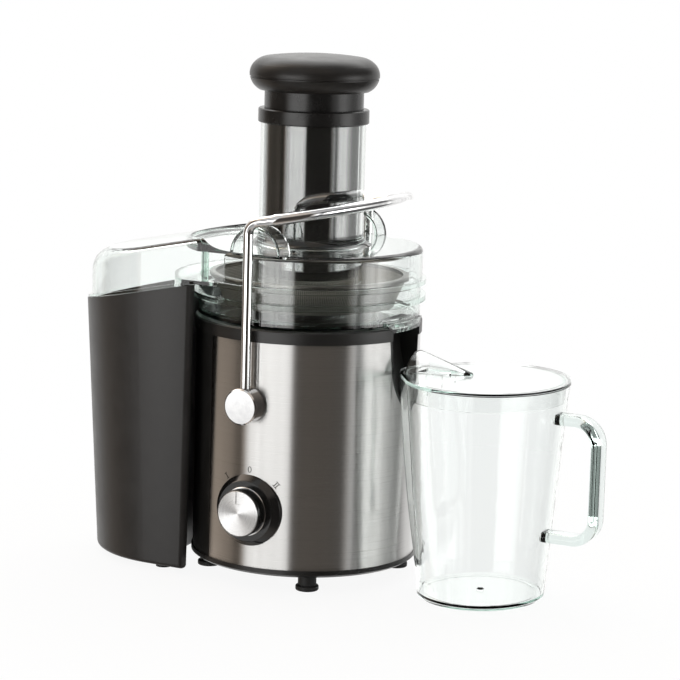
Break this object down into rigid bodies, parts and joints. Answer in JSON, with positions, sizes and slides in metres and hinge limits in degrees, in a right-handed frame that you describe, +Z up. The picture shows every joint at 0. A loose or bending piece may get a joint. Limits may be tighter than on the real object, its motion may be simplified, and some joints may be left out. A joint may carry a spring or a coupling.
{
  "type": "centrifugal juicer",
  "caption": "Upright centrifugal juicer: steel-wrapped motor base with speed dial, clear bowl and lid with feed chute, locking bail, pulp bin and clear juice jug.",
  "frame": {"origin": "on the floor, at the middle of the footprint of juicer, pulp bin and jug", "axes": "+Z up along the spindle, -Y to the front with the speed dial, +X to the juice spout and the jug"},
  "size_m": [0.4288, 0.2, 0.3924],
  "materials": {
    "black_plastic": "moulded black plastic",
    "rubber_black": "matte black rubber",
    "brushed_steel": "fine horizontal brushing",
    "zinc_steel": "zinc-plated steel",
    "bronze": "copper and bronze",
    "lamination": "bare laminated steel",
    "gloss_black": "glossy black plastic",
    "spun_aluminium": "spun on the lathe",
    "chrome": "polished chrome",
    "clear_plastic": "clear plastic, faintly green",
    "charcoal_plastic": "fine-grained charcoal plastic",
    "satin_black": "satin black plastic",
    "soft_black": "soft-touch warm black",
    "basket_steel": "etched steel mesh"
  },
  "bodies": {
    "base": {"base_plate": "black_plastic", "housing_shell": "black_plastic", "top_deck": "black_plastic", "spout_scoop": "black_plastic", "speed_switch": "black_plastic", "interlock_switch": "black_plastic", "brush_holders": "black_plastic", "feet": "rubber_black", "bin_feet": "rubber_black", "shaft_seal": "rubber_black", "motor_mounts": "rubber_black", "cord_gland": "rubber_black", "steel_wrap": "brushed_steel", "base_screws": "zinc_steel", "motor_bracket_lower": "zinc_steel", "motor_bracket_upper": "zinc_steel", "bearing_lower": "zinc_steel", "bearing_upper": "zinc_steel", "pivot_bush_front": "bronze", "pivot_bush_rear": "bronze", "field_coils": "bronze", "motor_stator": "lamination", "dial_bezel": "gloss_black", "juice_bowl": "clear_plastic", "lid": "clear_plastic", "pulp_bin": "charcoal_plastic"},
    "bail": {"bail_rod": "chrome", "bail_grip": "chrome", "bail_cap_front": "chrome", "bail_cap_rear": "chrome", "pivot_pin_front": "zinc_steel", "pivot_pin_rear": "zinc_steel", "interlock_cam": "black_plastic"},
    "dial": {"dial_knob": "gloss_black", "dial_ring": "chrome", "dial_cap": "spun_aluminium", "dial_shaft": "zinc_steel"},
    "pusher": {"pusher_tube": "gloss_black", "pusher_collar": "satin_black", "pusher_cap_lower": "soft_black", "pusher_cap_top": "soft_black"},
    "rotor": {"basket_rim": "basket_steel", "basket_cone": "basket_steel", "grater_disc": "basket_steel", "basket_hub": "black_plastic", "drive_coupling": "black_plastic", "motor_shaft": "zinc_steel", "cooling_fan": "black_plastic", "armature": "lamination", "commutator": "bronze"},
    "jug": {"jug_body": "clear_plastic"},
    "jug_cover": {"jug_lid": "clear_plastic"}
  },
  "joints": [
    {"name": "bail_swing", "type": "hinge", "parent": "base", "child": "bail", "pos_m": [-0.03063, 0, 0.1397], "axis": [0, 1, 0], "range_deg": [0, 45]},
    {"name": "dial_turn", "type": "hinge", "parent": "base", "child": "dial", "pos_m": [-0.03063, -0.095, 0.06], "axis": [0, 1, 0], "range_deg": [-45, 45]},
    {"name": "pusher_lift", "type": "slide", "parent": "base", "child": "pusher", "axis": [0, 0, 1], "range_m": [0, 0.17]},
    {"name": "basket_spin", "type": "hinge", "parent": "base", "child": "rotor", "pos_m": [-0.03063, 0, 0.12], "axis": [0, 0, 1], "continuous": true},
    {"name": "jug_slide", "type": "slide", "parent": "base", "child": "jug", "axis": [1, 0, 0], "range_m": [0, 0.12]},
    {"name": "jug_lid_lift", "type": "slide", "parent": "jug", "child": "jug_cover", "axis": [0, 0, 1], "range_m": [0, 0.025]}
  ]
}
